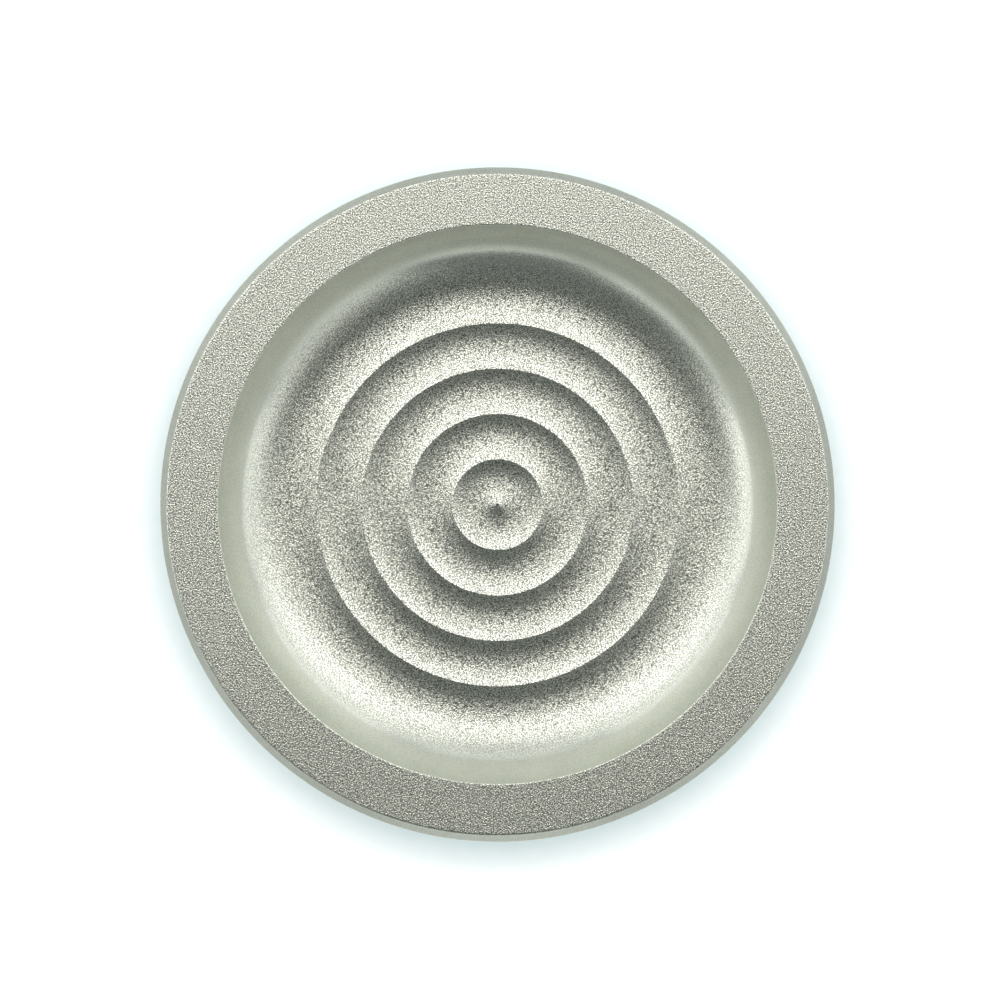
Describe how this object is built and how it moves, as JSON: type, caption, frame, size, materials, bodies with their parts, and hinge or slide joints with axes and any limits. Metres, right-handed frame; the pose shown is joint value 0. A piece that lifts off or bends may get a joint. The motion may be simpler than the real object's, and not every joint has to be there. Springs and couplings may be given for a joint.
{
  "type": "yo-yo",
  "caption": "Metal yo-yo: two blasted halves with rippled cups, clamped round a shielded ball bearing on a threaded axle.",
  "frame": {"origin": "centre of the yo-yo: on the axle's axis, in the middle of the string gap", "axes": "+Z along the axle and out of the upper half's cup; the yo-yo lies on the lower half's rim, which faces -Z; X and Y are alike"},
  "size_m": [0.056, 0.056, 0.0304],
  "materials": {
    "blasted_aluminium": "bead blasted, bare, warm grey",
    "bearing_steel": "fine ground",
    "ball_steel": "polished",
    "blackened_steel": "black oxide",
    "cage_brass": "pressed, satin",
    "silicone": "matt white"
  },
  "bodies": {
    "lower_side": {"lower_half": "blasted_aluminium", "axle": "blackened_steel", "response_pad_lower": "silicone"},
    "bearing_core": {"bearing_inner_ring": "bearing_steel"},
    "upper_side": {"upper_half": "blasted_aluminium", "response_pad_upper": "silicone"},
    "bearing_shell": {"bearing_outer_ring": "bearing_steel", "shield_upper": "bearing_steel", "shield_lower": "bearing_steel", "snap_ring_upper": "bearing_steel", "snap_ring_lower": "bearing_steel"},
    "cage": {"ball_cage": "cage_brass"},
    "rolling_ball_01": {"ball_01": "ball_steel"},
    "rolling_ball_02": {"ball_02": "ball_steel"},
    "rolling_ball_03": {"ball_03": "ball_steel"},
    "rolling_ball_04": {"ball_04": "ball_steel"},
    "rolling_ball_05": {"ball_05": "ball_steel"},
    "rolling_ball_06": {"ball_06": "ball_steel"},
    "rolling_ball_07": {"ball_07": "ball_steel"},
    "rolling_ball_08": {"ball_08": "ball_steel"},
    "rolling_ball_09": {"ball_09": "ball_steel"},
    "rolling_ball_10": {"ball_10": "ball_steel"}
  },
  "joints": [
    {"name": "halves_separate", "type": "slide", "parent": "lower_side", "child": "bearing_core", "axis": [0, 0, 1], "range_m": [0, 0.0064]},
    {"name": "upper_half_turn", "type": "hinge", "parent": "bearing_core", "child": "upper_side", "pos_m": [0, 0, 0], "axis": [0, 0, 1], "range_deg": [0, 3292]},
    {"name": "bearing_spin", "type": "hinge", "parent": "bearing_core", "child": "bearing_shell", "pos_m": [0, 0, 0], "axis": [0, 0, 1], "continuous": true},
    {"name": "cage_turn", "type": "hinge", "parent": "bearing_core", "child": "cage", "pos_m": [0, 0, 0], "axis": [0, 0, 1], "continuous": true},
    {"name": "ball_01_roll", "type": "hinge", "parent": "cage", "child": "rolling_ball_01", "pos_m": [0.00476, 0, 0], "axis": [0, 0, 1], "continuous": true},
    {"name": "ball_02_roll", "type": "hinge", "parent": "cage", "child": "rolling_ball_02", "pos_m": [0.00385, 0.0028, 0], "axis": [0, 0, 1], "continuous": true},
    {"name": "ball_03_roll", "type": "hinge", "parent": "cage", "child": "rolling_ball_03", "pos_m": [0.00147, 0.00453, 0], "axis": [0, 0, 1], "continuous": true},
    {"name": "ball_04_roll", "type": "hinge", "parent": "cage", "child": "rolling_ball_04", "pos_m": [-0.00147, 0.00453, 0], "axis": [0, 0, 1], "continuous": true},
    {"name": "ball_05_roll", "type": "hinge", "parent": "cage", "child": "rolling_ball_05", "pos_m": [-0.00385, 0.0028, 0], "axis": [0, 0, 1], "continuous": true},
    {"name": "ball_06_roll", "type": "hinge", "parent": "cage", "child": "rolling_ball_06", "pos_m": [-0.00476, 0, 0], "axis": [0, 0, 1], "continuous": true},
    {"name": "ball_07_roll", "type": "hinge", "parent": "cage", "child": "rolling_ball_07", "pos_m": [-0.00385, -0.0028, 0], "axis": [0, 0, 1], "continuous": true},
    {"name": "ball_08_roll", "type": "hinge", "parent": "cage", "child": "rolling_ball_08", "pos_m": [-0.00147, -0.00453, 0], "axis": [0, 0, 1], "continuous": true},
    {"name": "ball_09_roll", "type": "hinge", "parent": "cage", "child": "rolling_ball_09", "pos_m": [0.00147, -0.00453, 0], "axis": [0, 0, 1], "continuous": true},
    {"name": "ball_10_roll", "type": "hinge", "parent": "cage", "child": "rolling_ball_10", "pos_m": [0.00385, -0.0028, 0], "axis": [0, 0, 1], "continuous": true}
  ],
  "couplings": [
    {"joint": "upper_half_turn", "follows": "halves_separate", "rad_per_m": 8976},
    {"joint": "cage_turn", "follows": "bearing_spin", "ratio": 0.58333},
    {"joint": "ball_01_roll", "follows": "bearing_spin", "ratio": 2.9167},
    {"joint": "ball_02_roll", "follows": "bearing_spin", "ratio": 2.9167},
    {"joint": "ball_03_roll", "follows": "bearing_spin", "ratio": 2.9167},
    {"joint": "ball_04_roll", "follows": "bearing_spin", "ratio": 2.9167},
    {"joint": "ball_05_roll", "follows": "bearing_spin", "ratio": 2.9167},
    {"joint": "ball_06_roll", "follows": "bearing_spin", "ratio": 2.9167},
    {"joint": "ball_07_roll", "follows": "bearing_spin", "ratio": 2.9167},
    {"joint": "ball_08_roll", "follows": "bearing_spin", "ratio": 2.9167},
    {"joint": "ball_09_roll", "follows": "bearing_spin", "ratio": 2.9167},
    {"joint": "ball_10_roll", "follows": "bearing_spin", "ratio": 2.9167}
  ]
}
